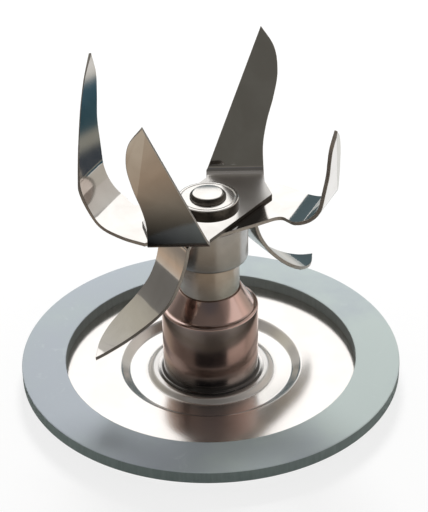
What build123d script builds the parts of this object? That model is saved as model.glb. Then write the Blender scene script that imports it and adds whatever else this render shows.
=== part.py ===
from build123d import *
import os
from math import atan2, cos, hypot, radians, sin, tan

# Blender blade assembly. The origin is on the shaft axis, in the plane that the base rests on.
# The drawn base carries a loose sealing ring and the bearings; the shaft turns the three blades.
# Sizes are in millimetres and degrees.

# Drawn base sheet
sheet = 0.8
disc_radius = 31.0
step_radius = 15.96
step_run = 1.52
recess_depth = 1.4
bead_width = 1.68
bead_crest_out = 0.68
bead_crest_width = 0.5
bead_height = 0.75
foot_valley_height = 0.4
foot_run = 0.8
foot_rise = 0.8
hub_radius = 8.42
hub_wall_top = 13.75
rim_width = 0.76
rim_valley_height = 0.95
cone_top = 18.6

# Sealing ring
seal_outer_radius = 33.35
seal_width = 7.7
seal_thickness = 2.15
seal_edge = 0.15

# Bearing sleeve, the ring round its neck and what sits in its bore
neck_radius = 5.22
sleeve_bore_radius = 4.0
sleeve_bottom = 10.5
neck_ring_section = 0.7
bush_length = 4.5
felt_shaft_gap = 0.3
shaft_seal_length = 2.6
shaft_seal_lip = 0.6

# Shaft
shaft_radius = 3.0
shaft_tail_radius = 2.6
seat_radius = 2.5
seat_flats = 4.0
head_radius = 3.07
head_height = 0.85
head_bevel = 0.5

# Slinger collar and clamp washer
neck_shown = 5.9
collar_wall = 1.08
collar_height = 7.15
collar_cavity_depth = 4.4
collar_bevel = 0.35
clamp_washer_radius = 5.19
clamp_washer_height = 2.1
clamp_washer_bevel = 0.5

# Thrust washers
upper_washer_thickness = 0.7
lower_washer_thickness = 0.6
lower_washer_radius = 5.2

# Drive coupling
coupling_bottom = 0.6
socket_width = 8.0
socket_depth = 6.0
socket_corner_radius = 0.8
coupling_chamfer = 0.6

# Fits
running_clearance = 0.05
press_clearance = 0.02
seat_clearance = 0.03
slinger_gap = 0.4
end_play = 0.3
coupling_gap = 1.02
fold_gap = 0.2

# Blades. Each arm is drawn as it points along its azimuth: out, across to its left, and up from its plate.
# A seam is where an arm's plan outline hands over to its end-view outline, part of the way round a bend.
# A ground edge starts from a line between two points of the leaf, across it and up from the bend.
blade_stock = 0.65

# Upper blade: a plate with two wings, each arm folded up and flat from there to its tip
upper_azimuth = -90.0
upper_flat = 10.9
upper_bend_radius = 1.75
upper_bend_angle = 75.0
upper_seam_turn = 37.5
upper_arm_left = 0.2
upper_arm_right = -9.8
upper_nose_back = 0.3
upper_heel_back = 2.0
upper_wing_out = 4.2
upper_wing_across = -10.9
upper_tip_height = 24.5
upper_tip_across = -9.5
upper_belly_height = 17.4
upper_belly_across = -12.3
upper_shoulder_height = 7.5
upper_shoulder_across = -10.1
upper_grind_low = (-10.9, 10.2)
upper_grind_high = (-9.0, 23.3)
upper_grind_angle = -12.0

# Middle blade: bent up on a wide curve, with a hooked front edge and a swept back edge
middle_azimuth = -24.4
middle_flat = 12.5
middle_bend_radius = 7.55
middle_bend_angle = 76.5
middle_seam_turn = 38.0
middle_seam_front = 1.0
middle_seam_back = 9.8
middle_waist = 8.95
middle_corner_out = 3.6
middle_corner_across = -8.0
middle_flank_out = 8.5
middle_flank_across = -1.5
middle_nose_out = 12.3
middle_nose_across = 2.9
middle_heel_out = 12.8
middle_heel_across = 12.1
middle_shoulder_out = 5.2
middle_shoulder_across = 13.6
middle_hollow_out = 3.3
middle_hollow_across = 11.3
middle_foot_height = 5.15
middle_foot_across = -0.5
middle_throat_height = 12.5
middle_throat_across = -2.6
middle_hook_height = 19.6
middle_hook_across = -6.0
middle_tip_height = 22.2
middle_tip_across = -6.0
middle_sweep_height = 16.4
middle_sweep_across = 0.8
middle_back_height = 7.0
middle_back_across = 7.0
middle_grind_low = (3.0, 4.1)
middle_grind_high = (-5.0, 14.6)
middle_grind_angle = 11.0

# Lower blade: folded down, then flared outwards on a long arc to a swept point
lower_azimuth = -149.0
lower_fold_radius = 0.9
lower_fold_angle = 82.8
lower_fold_seam_turn = 41.4
lower_flare_radius = 18.9
lower_flare_angle = 78.0
lower_flare_seam_turn = 28.8
lower_waist = 6.2
lower_notch_out = 5.6
lower_notch_across = 5.7
lower_arm_left = 6.9
lower_arm_right = -2.2
lower_neck_drop = 7.0
lower_neck_across = -1.1
lower_flare_left = 6.5
lower_flare_right = -1.13
lower_belly_out = 17.0
lower_belly_across = -1.8
lower_back_out = 17.3
lower_back_across = 4.65
lower_tip_reach = 24.4
lower_tip_across = 3.85

# Heights and radii that follow from the sizes above
recess_top = sheet
flange_under = recess_depth
flange_top = recess_depth + sheet
seal_inner_radius = seal_outer_radius - seal_width
foot_radius = hub_radius + foot_run
foot_valley = recess_top + foot_valley_height
foot_top = foot_valley + foot_rise
bead_crest_radius = foot_radius + bead_crest_out
bead_crest = recess_top + bead_height
bead_outer_radius = foot_radius + bead_width
hub_bore_radius = hub_radius - sheet
rim_valley_radius = hub_radius - rim_width
rim_valley_top = hub_wall_top + rim_valley_height
cone_hole_radius = neck_radius + press_clearance
sleeve_seat = rim_valley_top - sheet
collar_radius = neck_radius + slinger_gap + collar_wall
collar_bottom = cone_top + neck_shown
collar_top = collar_bottom + collar_height
collar_ceiling = collar_bottom + collar_cavity_depth
neck_top = collar_ceiling - upper_washer_thickness - end_play
lower_plate_under = collar_top
middle_plate_under = lower_plate_under + blade_stock
upper_plate_under = middle_plate_under + blade_stock
stack_top = upper_plate_under + blade_stock
clamp_top = stack_top + clamp_washer_height
coupling_radius = hub_bore_radius - coupling_gap
socket_ceiling = coupling_bottom + socket_depth
coupling_top = sleeve_bottom - end_play - lower_washer_thickness
bush_radius = sleeve_bore_radius - press_clearance
bush_bore_radius = shaft_radius + running_clearance
shaft_seal_bottom = neck_top - shaft_seal_length
upper_bush_bottom = shaft_seal_bottom - bush_length
lower_bush_top = sleeve_bottom + bush_length
reach = 4 * seal_outer_radius


def double_d(clearance=0.0):
    """Section of the blade seat, a circle with two flats, drawn in the open sketch."""
    Circle(seat_radius + clearance)
    Rectangle(2 * (seat_radius + clearance), seat_flats + 2 * clearance, mode=Mode.INTERSECT)


# Drawn base: section from the flange's edge to the hole at the top of the cone, turned about the axis
step_shift = sheet * tan(atan2(recess_depth, step_run) / 2)
foot_shift = sheet * tan(atan2(foot_rise, foot_run) / 2)
cone_slope = (cone_top - rim_valley_top) / (rim_valley_radius - cone_hole_radius)
cone_shift = sheet * hypot(1, 1 / cone_slope)
cone_seat_radius = rim_valley_radius + sheet / cone_slope - cone_shift
cone_inner_top = cone_top - (cone_shift - press_clearance) * cone_slope

with BuildPart() as drawn_base:
    with BuildSketch(Plane.XZ):
        with BuildLine():
            top = Polyline(
                (disc_radius, flange_top),
                (step_radius, flange_top),
                (step_radius - step_run, recess_top),
                (bead_outer_radius, recess_top),
                (bead_crest_radius + bead_crest_width / 2, bead_crest),
                (bead_crest_radius - bead_crest_width / 2, bead_crest),
                (foot_radius, foot_valley),
                (hub_radius, foot_top),
                (hub_radius, hub_wall_top),
            )
            rim = TangentArc(top @ 1, (rim_valley_radius, rim_valley_top), tangent=top % 1)
            Polyline(
                rim @ 1,
                (cone_hole_radius, cone_top),
                (cone_hole_radius, cone_inner_top),
                (cone_seat_radius, sleeve_seat),
                (hub_bore_radius, sleeve_seat),
                (hub_bore_radius, foot_top - foot_shift),
                (foot_radius - foot_shift, foot_valley - sheet),
                (bead_crest_radius, bead_crest - sheet),
                (bead_outer_radius - sheet / 2, 0),
                (step_radius - step_run + step_shift, 0),
                (step_radius + step_shift, flange_under),
                (disc_radius, flange_under),
                top @ 0,
            )
        make_face()
    revolve(axis=Axis.Z)
drawn_base.part.label = "drawn_base"

# Sealing ring, lying on the flange, with its upper edges eased
with BuildPart() as sealing_ring:
    with BuildSketch(Plane.XY.offset(flange_top)):
        Circle(seal_outer_radius)
        Circle(seal_inner_radius, mode=Mode.SUBTRACT)
    extrude(amount=seal_thickness)
    chamfer(sealing_ring.edges().group_by(Axis.Z)[-1], seal_edge)
sealing_ring.part.label = "sealing_ring"

# Bearing sleeve: pressed into the hub up to its seat, with the neck through the cone
with BuildPart() as bearing_sleeve:
    with BuildSketch(Plane.XY.offset(sleeve_bottom)):
        Circle(hub_bore_radius - press_clearance)
    extrude(amount=sleeve_seat - sleeve_bottom)
    with BuildSketch(Plane.XY.offset(sleeve_seat)):
        Circle(neck_radius)
    extrude(amount=neck_top - sleeve_seat)
    with BuildSketch(Plane.XY.offset(sleeve_bottom)):
        Circle(sleeve_bore_radius)
    extrude(amount=neck_top - sleeve_bottom, mode=Mode.SUBTRACT)
bearing_sleeve.part.label = "bearing_sleeve"


def plain_ring(name, bottom, height, outer_radius, inner_radius):
    """Ring of plain section about the shaft's axis."""
    with BuildPart() as ring:
        with BuildSketch(Plane.XY.offset(bottom)):
            Circle(outer_radius)
            Circle(inner_radius, mode=Mode.SUBTRACT)
        extrude(amount=height)
    ring.part.label = name
    return ring.part


# Two bushes at the ends of the bore, with a felt ring between them that holds their oil
lower_bush = plain_ring("lower_bush", sleeve_bottom, bush_length, bush_radius, bush_bore_radius)
upper_bush = plain_ring("upper_bush", upper_bush_bottom, bush_length, bush_radius, bush_bore_radius)
felt_length = upper_bush_bottom - lower_bush_top
oil_felt = plain_ring("oil_felt", lower_bush_top, felt_length, bush_radius, shaft_radius + felt_shaft_gap)

# Shaft seal: a rubber ring whose lip meets the shaft at the top only
with BuildPart() as shaft_seal:
    with BuildSketch(Plane.XZ):
        with BuildLine():
            Polyline(
                (bush_radius, shaft_seal_bottom),
                (bush_radius, neck_top),
                (bush_bore_radius, neck_top),
                (bush_bore_radius, neck_top - shaft_seal_lip),
                (bush_bore_radius + felt_shaft_gap, shaft_seal_bottom),
                close=True,
            )
        make_face()
    revolve(axis=Axis.Z)
shaft_seal.part.label = "shaft_seal"

# Square-section ring that seals the neck, lying on the sleeve's shoulder under the cone
neck_ring_radius = cone_hole_radius + neck_ring_section
neck_o_ring = plain_ring("neck_o_ring", sleeve_seat, neck_ring_section, neck_ring_radius, cone_hole_radius)

# Plain washers that take the thrust above and below the sleeve
washer_bore = shaft_radius + running_clearance
upper_thrust_washer = plain_ring(
    "upper_thrust_washer", neck_top + end_play, upper_washer_thickness, neck_radius, washer_bore
)
lower_thrust_washer = plain_ring(
    "lower_thrust_washer", coupling_top, lower_washer_thickness, lower_washer_radius, washer_bore
)

# Shaft: tail for the coupling, running length, flatted blade seat and the peened head
with BuildPart() as drive_shaft:
    with BuildSketch(Plane.XY.offset(socket_ceiling)):
        Circle(shaft_tail_radius)
    extrude(amount=coupling_top - socket_ceiling)
    with BuildSketch(Plane.XY.offset(coupling_top)):
        Circle(shaft_radius)
    extrude(amount=collar_ceiling - coupling_top)
    with BuildSketch(Plane.XY.offset(collar_ceiling)):
        double_d()
    extrude(amount=clamp_top - collar_ceiling)
    with BuildSketch(Plane.XY.offset(clamp_top)):
        Circle(head_radius)
    extrude(amount=head_height)
    chamfer(drive_shaft.edges().group_by(Axis.Z)[-1], head_bevel)
drive_shaft.part.label = "drive_shaft"

# Slinger collar: a cap over the neck, clamped between the shaft's shoulder and the blades
with BuildPart() as slinger_collar:
    with BuildSketch(Plane.XY.offset(collar_bottom)):
        Circle(collar_radius)
    extrude(amount=collar_height)
    with BuildSketch(Plane.XY.offset(collar_bottom)):
        Circle(neck_radius + slinger_gap)
    extrude(amount=collar_cavity_depth, mode=Mode.SUBTRACT)
    with BuildSketch(Plane.XY.offset(collar_ceiling)):
        double_d(seat_clearance)
    extrude(amount=collar_height, mode=Mode.SUBTRACT)
    skirt_edges = slinger_collar.edges().group_by(Axis.Z)[0]
    chamfer(skirt_edges.sort_by(SortBy.RADIUS)[-1], collar_bevel)
slinger_collar.part.label = "slinger_collar"


def arm_planes(azimuth):
    """Side, plan and end planes of a blade arm that points outwards along the azimuth."""
    outwards = Vector(1, 0, 0).rotate(Axis.Z, azimuth)
    across = outwards.rotate(Axis.Z, 90)
    side = Plane(origin=(0, 0, 0), x_dir=outwards, z_dir=-across)
    plan = Plane(origin=(0, 0, 0), x_dir=outwards, z_dir=(0, 0, 1))
    end = Plane(origin=(0, 0, 0), x_dir=across, z_dir=outwards)
    return side, plan, end


def seam_plane(side, axis_out, axis_up, turn):
    """Plane through a bend's axis, square to the strip where that has turned up by the angle."""
    along = side.x_dir * cos(radians(turn)) + Vector(0, 0, sin(radians(turn)))
    return Plane(origin=side.from_local_coords((axis_out, axis_up, 0)), x_dir=side.z_dir, z_dir=along)


def seam_end(axis_out, axis_up, radius, turn):
    """Inner end of a seam in the side view. The radius is negative where the strip is bent down."""
    return axis_out + radius * sin(radians(turn)), axis_up - radius * cos(radians(turn))


def bent_up_strip(side, plate_top, flat, bend_radius, bend_angle):
    """Wide strip that runs out flat, is bent up and goes on straight, still to be cut to its outline."""
    with BuildPart() as strip:
        with BuildSketch(side):
            with BuildLine():
                run = Line((0, plate_top), (flat, plate_top))
                bend = JernArc(run @ 1, run % 1, bend_radius, bend_angle)
                PolarLine(bend @ 1, reach, direction=bend % 1)
                offset(amount=blade_stock, side=Side.RIGHT)
            make_face()
        extrude(amount=reach, both=True)
    return strip.part


def outer_face(side, end, axis_out, axis_up, bend_radius, bend_angle):
    """Plane of a leaf's outer face, with its origin where the bend ends: across, up the leaf, outwards."""
    bend_end = seam_end(axis_out, axis_up, bend_radius + blade_stock, bend_angle)
    normal = side.x_dir * sin(radians(bend_angle)) - Vector(0, 0, cos(radians(bend_angle)))
    return Plane(origin=side.from_local_coords((*bend_end, 0)), x_dir=end.x_dir, z_dir=normal)


def grind_plane(face, low, high, angle):
    """Plane that takes off a leaf's edge, tilted out of its face about the line between two points."""
    line = face.from_local_coords((*high, 0)) - face.from_local_coords((*low, 0))
    normal = face.z_dir.rotate(Axis(face.origin, line), angle)
    return Plane(origin=face.from_local_coords((*low, 0)), x_dir=line, z_dir=normal)


def whole_blade(name, plate_under, *stretches):
    """Two arms half a turn apart, each of its stretches, with the flatted hole for the shaft."""
    with BuildPart() as blade:
        with PolarLocations(0, 2):
            for stretch in stretches:
                add(stretch.part)
        with BuildSketch(Plane.XY.offset(plate_under)):
            double_d(seat_clearance)
        extrude(amount=blade_stock, mode=Mode.SUBTRACT)
    blade.part.label = name
    return blade.part


# Upper blade: its root is cut to the plan of the plate and its leaf to the end view
upper_plate_top = upper_plate_under + blade_stock
upper_axis_up = upper_plate_top + upper_bend_radius
upper_nose_out = upper_flat - upper_nose_back
upper_side, upper_plan, upper_end = arm_planes(upper_azimuth)
upper_strip = bent_up_strip(upper_side, upper_plate_top, upper_flat, upper_bend_radius, upper_bend_angle)
upper_seam = seam_plane(upper_side, upper_flat, upper_axis_up, upper_seam_turn)
upper_seam_up = seam_end(upper_flat, upper_axis_up, upper_bend_radius, upper_seam_turn)[1]

with BuildPart() as upper_root:
    add(upper_strip)
    split(bisect_by=upper_seam, keep=Keep.BOTTOM)
    with BuildSketch(upper_plan):
        with BuildLine():
            Polyline(
                (reach, upper_arm_left),
                (upper_nose_out, upper_arm_left),
                (-upper_wing_out, -upper_wing_across),
                (-upper_nose_out, -upper_arm_left),
                (upper_wing_out, upper_wing_across),
                (upper_flat - upper_heel_back, upper_arm_right),
                (reach, upper_arm_right),
                close=True,
            )
        make_face()
    extrude(amount=reach, both=True, mode=Mode.INTERSECT)

with BuildPart() as upper_leaf:
    add(upper_strip)
    split(bisect_by=upper_seam, keep=Keep.TOP)
    with BuildSketch(upper_end):
        with BuildLine():
            straight = Line(
                (upper_arm_left, upper_seam_up),
                (upper_tip_across, upper_plate_top + upper_tip_height),
            )
            curved = Spline(
                straight @ 1,
                (upper_belly_across, upper_plate_top + upper_belly_height),
                (upper_shoulder_across, upper_plate_top + upper_shoulder_height),
                (upper_arm_right, upper_seam_up),
                tangents=((-1, -1), (0, -1)),
            )
            Polyline(curved @ 1, (upper_arm_right, 0), (upper_arm_left, 0), straight @ 0)
        make_face()
    extrude(amount=reach, both=True, mode=Mode.INTERSECT)
    upper_face = outer_face(
        upper_side, upper_end, upper_flat, upper_axis_up, upper_bend_radius, upper_bend_angle
    )
    upper_grind = grind_plane(upper_face, upper_grind_low, upper_grind_high, upper_grind_angle)
    split(bisect_by=upper_grind, keep=Keep.BOTTOM)
upper_blade = whole_blade("upper_blade", upper_plate_under, upper_root, upper_leaf)

# Middle blade: the same, with a wide bend that the two outlines share
middle_plate_top = middle_plate_under + blade_stock
middle_axis_up = middle_plate_top + middle_bend_radius
middle_side, middle_plan, middle_end = arm_planes(middle_azimuth)
middle_strip = bent_up_strip(
    middle_side, middle_plate_top, middle_flat, middle_bend_radius, middle_bend_angle
)
middle_seam = seam_plane(middle_side, middle_flat, middle_axis_up, middle_seam_turn)
middle_seam_out, middle_seam_up = seam_end(
    middle_flat, middle_axis_up, middle_bend_radius, middle_seam_turn
)

with BuildPart() as middle_root:
    add(middle_strip)
    split(bisect_by=middle_seam, keep=Keep.BOTTOM)
    with BuildSketch(middle_plan):
        with BuildLine():
            flank = Polyline(
                (0, -middle_waist),
                (middle_corner_out, middle_corner_across),
                (middle_flank_out, middle_flank_across),
            )
            nose = Spline(
                flank @ 1,
                (middle_nose_out, middle_nose_across),
                (middle_seam_out, middle_seam_front),
                tangents=(flank % 1, (1, 0)),
            )
            heel = Spline(
                (middle_seam_out, middle_seam_back),
                (middle_heel_out, middle_heel_across),
                (middle_shoulder_out, middle_shoulder_across),
            )
            hollow = Spline(
                heel @ 1,
                (middle_hollow_out, middle_hollow_across),
                (0, middle_waist),
            )
            Polyline(nose @ 1, (reach, middle_seam_front), (reach, middle_seam_back), heel @ 0)
            Line(hollow @ 1, flank @ 0)
        make_face()
    extrude(amount=reach, both=True, mode=Mode.INTERSECT)

with BuildPart() as middle_leaf:
    add(middle_strip)
    split(bisect_by=middle_seam, keep=Keep.TOP)
    with BuildSketch(middle_end):
        with BuildLine():
            front = Spline(
                (middle_seam_front, middle_seam_up),
                (middle_foot_across, middle_plate_top + middle_foot_height),
                (middle_throat_across, middle_plate_top + middle_throat_height),
                (middle_hook_across, middle_plate_top + middle_hook_height),
                (middle_tip_across, middle_plate_top + middle_tip_height),
            )
            back = Spline(
                front @ 1,
                (middle_sweep_across, middle_plate_top + middle_sweep_height),
                (middle_back_across, middle_plate_top + middle_back_height),
                (middle_seam_back, middle_seam_up),
            )
            Polyline(back @ 1, (middle_seam_back, 0), (middle_seam_front, 0), front @ 0)
        make_face()
    extrude(amount=reach, both=True, mode=Mode.INTERSECT)
    middle_face = outer_face(
        middle_side, middle_end, middle_flat, middle_axis_up, middle_bend_radius, middle_bend_angle
    )
    middle_grind = grind_plane(middle_face, middle_grind_low, middle_grind_high, middle_grind_angle)
    split(bisect_by=middle_grind, keep=Keep.BOTTOM)
middle_blade = whole_blade("middle_blade", middle_plate_under, middle_root, middle_leaf)

# Lower blade: its plate and flare are cut to the plan, and the drop between them to the end view
lower_flat = collar_radius + fold_gap
lower_side, lower_plan, lower_end = arm_planes(lower_azimuth)

with BuildPart() as lower_strip:
    with BuildSketch(lower_side):
        with BuildLine():
            run = Line((0, lower_plate_under), (lower_flat, lower_plate_under))
            fold = JernArc(run @ 1, run % 1, lower_fold_radius, -lower_fold_angle)
            flare = JernArc(fold @ 1, fold % 1, lower_flare_radius + blade_stock, lower_flare_angle)
            offset(amount=blade_stock, side=Side.LEFT)
        make_face()
    extrude(amount=reach, both=True)

fold_axis = (lower_flat, lower_plate_under - lower_fold_radius)
fold_seam = seam_plane(lower_side, *fold_axis, -lower_fold_seam_turn)
fold_seam_out, fold_seam_up = seam_end(*fold_axis, -lower_fold_radius, -lower_fold_seam_turn)
flare_axis = (flare.arc_center.X, flare.arc_center.Y)
flare_seam_turn = lower_flare_seam_turn - lower_fold_angle
flare_seam = seam_plane(lower_side, *flare_axis, flare_seam_turn)
flare_seam_out, flare_seam_up = seam_end(*flare_axis, lower_flare_radius, flare_seam_turn)

with BuildPart() as lower_root:
    add(lower_strip.part)
    split(bisect_by=fold_seam, keep=Keep.BOTTOM)
    with BuildSketch(lower_plan):
        with BuildLine():
            Polyline(
                (0, lower_waist),
                (lower_notch_out, lower_notch_across),
                (fold_seam_out, lower_arm_left),
                (reach, lower_arm_left),
                (reach, lower_arm_right),
                (fold_seam_out, lower_arm_right),
                (0, -lower_waist),
                close=True,
            )
        make_face()
    extrude(amount=reach, both=True, mode=Mode.INTERSECT)

with BuildPart() as lower_drop:
    add(lower_strip.part)
    split(bisect_by=fold_seam, keep=Keep.TOP)
    split(bisect_by=flare_seam, keep=Keep.BOTTOM)
    with BuildSketch(lower_end):
        with BuildLine():
            right = Spline(
                (lower_arm_right, fold_seam_up),
                (lower_neck_across, lower_plate_under - lower_neck_drop),
                (lower_flare_right, flare_seam_up),
            )
            left = Line((lower_flare_left, flare_seam_up), (lower_arm_left, fold_seam_up))
            Polyline(right @ 1, (lower_flare_right, 0), (lower_flare_left, 0), left @ 0)
            Polyline(left @ 1, (lower_arm_left, reach), (lower_arm_right, reach), right @ 0)
        make_face()
    extrude(amount=reach, both=True, mode=Mode.INTERSECT)

with BuildPart() as lower_flare:
    add(lower_strip.part)
    split(bisect_by=flare_seam, keep=Keep.TOP)
    with BuildSketch(lower_plan):
        with BuildLine():
            belly = Spline(
                (flare_seam_out, lower_flare_right),
                (lower_belly_out, lower_belly_across),
                (lower_tip_reach, lower_tip_across),
            )
            back = Spline(
                belly @ 1,
                (lower_back_out, lower_back_across),
                (flare_seam_out, lower_flare_left),
            )
            Polyline(
                back @ 1,
                (0, lower_flare_left),
                (0, lower_flare_right),
                belly @ 0,
            )
        make_face()
    extrude(amount=reach, both=True, mode=Mode.INTERSECT)
lower_blade = whole_blade("lower_blade", lower_plate_under, lower_root, lower_drop, lower_flare)

# Clamp washer between the upper blade and the peened head
with BuildPart() as top_washer:
    with BuildSketch(Plane.XY.offset(stack_top)):
        Circle(clamp_washer_radius)
        Circle(seat_radius + seat_clearance, mode=Mode.SUBTRACT)
    extrude(amount=clamp_washer_height)
    washer_edges = top_washer.edges().group_by(Axis.Z)[-1]
    chamfer(washer_edges.sort_by(SortBy.RADIUS)[-1], clamp_washer_bevel)
top_washer.part.label = "top_washer"

# Drive coupling: square socket from below, pressed on the shaft's tail
with BuildPart() as drive_coupling:
    with BuildSketch(Plane.XY.offset(coupling_bottom)):
        Circle(coupling_radius)
    extrude(amount=coupling_top - coupling_bottom)
    chamfer(drive_coupling.edges().group_by(Axis.Z)[-1], coupling_chamfer)
    with BuildSketch(Plane.XY.offset(coupling_bottom)):
        RectangleRounded(socket_width, socket_width, socket_corner_radius)
    extrude(amount=socket_depth, mode=Mode.SUBTRACT)
    with BuildSketch(Plane.XY.offset(socket_ceiling)):
        Circle(shaft_tail_radius + press_clearance)
    extrude(amount=coupling_top, mode=Mode.SUBTRACT)
drive_coupling.part.label = "drive_coupling"

pieces = [
    drawn_base.part,
    sealing_ring.part,
    bearing_sleeve.part,
    lower_bush,
    upper_bush,
    oil_felt,
    shaft_seal.part,
    neck_o_ring,
    drive_shaft.part,
    slinger_collar.part,
    lower_blade,
    middle_blade,
    upper_blade,
    top_washer.part,
    upper_thrust_washer,
    lower_thrust_washer,
    drive_coupling.part,
]
os.makedirs("parts", exist_ok=True)
for piece in pieces:
    export_step(piece, f"parts/{piece.label}.step")
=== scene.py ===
import math

import bmesh
import bpy
from mathutils import Matrix, Vector
from mathutils.geometry import interpolate_bezier


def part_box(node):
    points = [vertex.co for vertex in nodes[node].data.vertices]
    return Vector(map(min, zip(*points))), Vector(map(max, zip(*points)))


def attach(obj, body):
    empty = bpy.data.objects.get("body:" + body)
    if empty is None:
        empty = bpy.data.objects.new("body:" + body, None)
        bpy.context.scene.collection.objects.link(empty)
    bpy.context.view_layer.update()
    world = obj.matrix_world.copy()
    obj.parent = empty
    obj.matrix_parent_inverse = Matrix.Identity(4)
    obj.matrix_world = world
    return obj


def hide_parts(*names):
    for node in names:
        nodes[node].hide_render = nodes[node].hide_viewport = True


# A blender's blade assembly on a white table: the pressed base with its rubber ring, the turned
# parts of the shaft and the three polished blades. Sizes are in millimetres until a mesh is made.

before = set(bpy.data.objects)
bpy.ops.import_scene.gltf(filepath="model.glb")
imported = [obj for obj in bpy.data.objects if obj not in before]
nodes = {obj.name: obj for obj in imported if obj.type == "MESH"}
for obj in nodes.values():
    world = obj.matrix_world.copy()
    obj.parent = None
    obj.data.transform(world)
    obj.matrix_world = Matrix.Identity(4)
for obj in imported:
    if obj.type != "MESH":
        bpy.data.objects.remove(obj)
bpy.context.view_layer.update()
MM = 0.001


def low(node):
    """Height of a node's underside in millimetres."""
    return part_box(node)[0].z / MM


def high(node):
    """Height of a node's top in millimetres."""
    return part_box(node)[1].z / MM


def half_width(node):
    """Radius of a round node in millimetres."""
    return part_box(node)[1].x / MM


# Pressed base: what its box doesn't give, with the radii where its top and its underside turn
SHEET = 0.8
FLANGE_EDGE = 0.2
STEP_RADIUS = 15.96
STEP_RUN = 1.52
STEP_ROUND = 0.9
BEAD_START_RADIUS = 11.15
BEAD_OUTER_CREST = 10.3
BEAD_INNER_CREST = 9.52
BEAD_HEIGHT = 0.75
BEAD_ROUND = 0.8
BEAD_INNER_ROUND = 0.7
UNDER_BEAD_START = 10.5
UNDER_BEAD_CREST = 9.9
UNDER_BEAD_END = 9.22
UNDER_BEAD_ROUND = 0.3
FOOT_VALLEY = 0.4
FOOT_ROUND = 0.6
FOOT_INNER_ROUND = 0.5
HUB_RADIUS = 8.42
HUB_WALL_TOP = 14.65
RIM_ROUND = 0.9
RIM_VALLEY_RADIUS = 7.66
RIM_VALLEY_TOP = 14.7
RIM_VALLEY_ROUND = 0.4
CONE_HOLE_RADIUS = 5.24
CONE_HOLE_EDGE = 0.15
CONE_INNER_DROP = 1.5

# Rubber ring
RING_WIDTH = 7.7
RING_EDGE = 0.2
RING_UNDER_EDGE = 0.05

# Turned pieces
SLEEVE_BORE = 4.0
SLEEVE_EDGE = 0.2
NECK_RADIUS = 5.22
NECK_EDGE = 0.3
COLLAR_BORE = 5.62
COLLAR_CAVITY = 4.4
COLLAR_CAVITY_ROUND = 0.2
COLLAR_SKIRT_EDGE = 0.4
COLLAR_EDGE = 0.15
SEAT_HOLE = 2.53
SEAT_FLAT = 2.03
WASHER_EDGE = 0.42
WASHER_UNDER_EDGE = 0.1
WASHER_GROOVE_RADIUS = 4.55
WASHER_GROOVE = 0.1
WASHER_GROOVE_ROUND = 0.05
SHAFT_EDGE = 0.2
COUPLING_EDGE = 0.12

# Blade strip
STOCK = 0.65
STRIP_EDGE = 0.06
GROUND_LAND = 0.2

# A face is a wall where its normal's height is under this
RING_WALL_TILT = 0.4
WASHER_WALL_TILT = 0.5
SHAFT_WALL_TILT = 0.85

# How finely the meshes are divided, and what counts as a crease, as flat or as one point
TURNS = 288
ARC_STEPS = 8
EASED_STEPS = 3
CREASE_DEG = 24.0
BLADE_CREASE_DEG = 8.0
BEND_STEP_DEG = 3.0
HOLE_STEP_DEG = 6
OUTLINE_GAP = 0.3
LEAST_CURVE_POINTS = 3
FLAT_DEG = 0.4
WELD_GAP = 0.002
BLANK_WELD_GAP = 0.02
CUT_SLACK = 0.01

# An arc takes at most this share of the run on either side, and a sharp corner's inset is divided by
# no less than this
ARC_SHARE = 0.49
MITRE_LEAST = 0.5


def arc_points(outline):
    """Closed outline of corners (out, up, radius), with each corner that has a radius turned into an arc."""
    points = []
    for here in range(len(outline)):
        corner = Vector(outline[here][:2])
        before = Vector(outline[here - 1][:2]) - corner
        after = Vector(outline[(here + 1) % len(outline)][:2]) - corner
        radius = outline[here][2]
        if radius == 0:
            points.append(corner)
            continue
        half = before.angle(after) / 2
        run = min(radius / math.tan(half), ARC_SHARE * before.length, ARC_SHARE * after.length)
        radius = run * math.tan(half)
        start = corner + before.normalized() * run
        end = corner + after.normalized() * run
        inwards = (before.normalized() + after.normalized()).normalized()
        centre = corner + inwards * radius / math.sin(half)
        sweep = (start - centre).angle_signed(end - centre)
        for step in range(ARC_STEPS + 1):
            spoke = (start - centre).copy()
            spoke.rotate(Matrix.Rotation(-sweep * step / ARC_STEPS, 2))
            points.append(centre + spoke)
    return points


def finished_mesh(name, shape, crease):
    """Mesh of a closed shape, smooth but for the edges that turn by more than the crease angle."""
    bmesh.ops.recalc_face_normals(shape, faces=shape.faces)
    mesh = bpy.data.meshes.new(name)
    shape.to_mesh(mesh)
    shape.free()
    mesh.shade_smooth()
    mesh.set_sharp_from_angle(angle=math.radians(crease))
    return mesh


def add_piece(name, mesh, body, replaced, material):
    """Object of a finished mesh that rides on a body in place of a node."""
    piece = bpy.data.objects.new(name, mesh)
    bpy.context.scene.collection.objects.link(piece)
    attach(piece, body)
    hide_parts(replaced)
    mesh.materials.append(material)
    return piece


def turned_mesh(name, outline):
    """Mesh of a closed outline turned about the shaft's axis."""
    section = arc_points(outline)
    shape = bmesh.new()
    rings = []
    for turn in range(TURNS):
        angle = 2 * math.pi * turn / TURNS
        rings.append([
            shape.verts.new((p.x * MM * math.cos(angle), p.x * MM * math.sin(angle), p.y * MM))
            for p in section
        ])
    for turn in range(TURNS):
        here, there = rings[turn], rings[(turn + 1) % TURNS]
        for k in range(len(section)):
            after = (k + 1) % len(section)
            shape.faces.new((here[k], there[k], there[after], here[after]))
    return finished_mesh(name, shape, CREASE_DEG)


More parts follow.
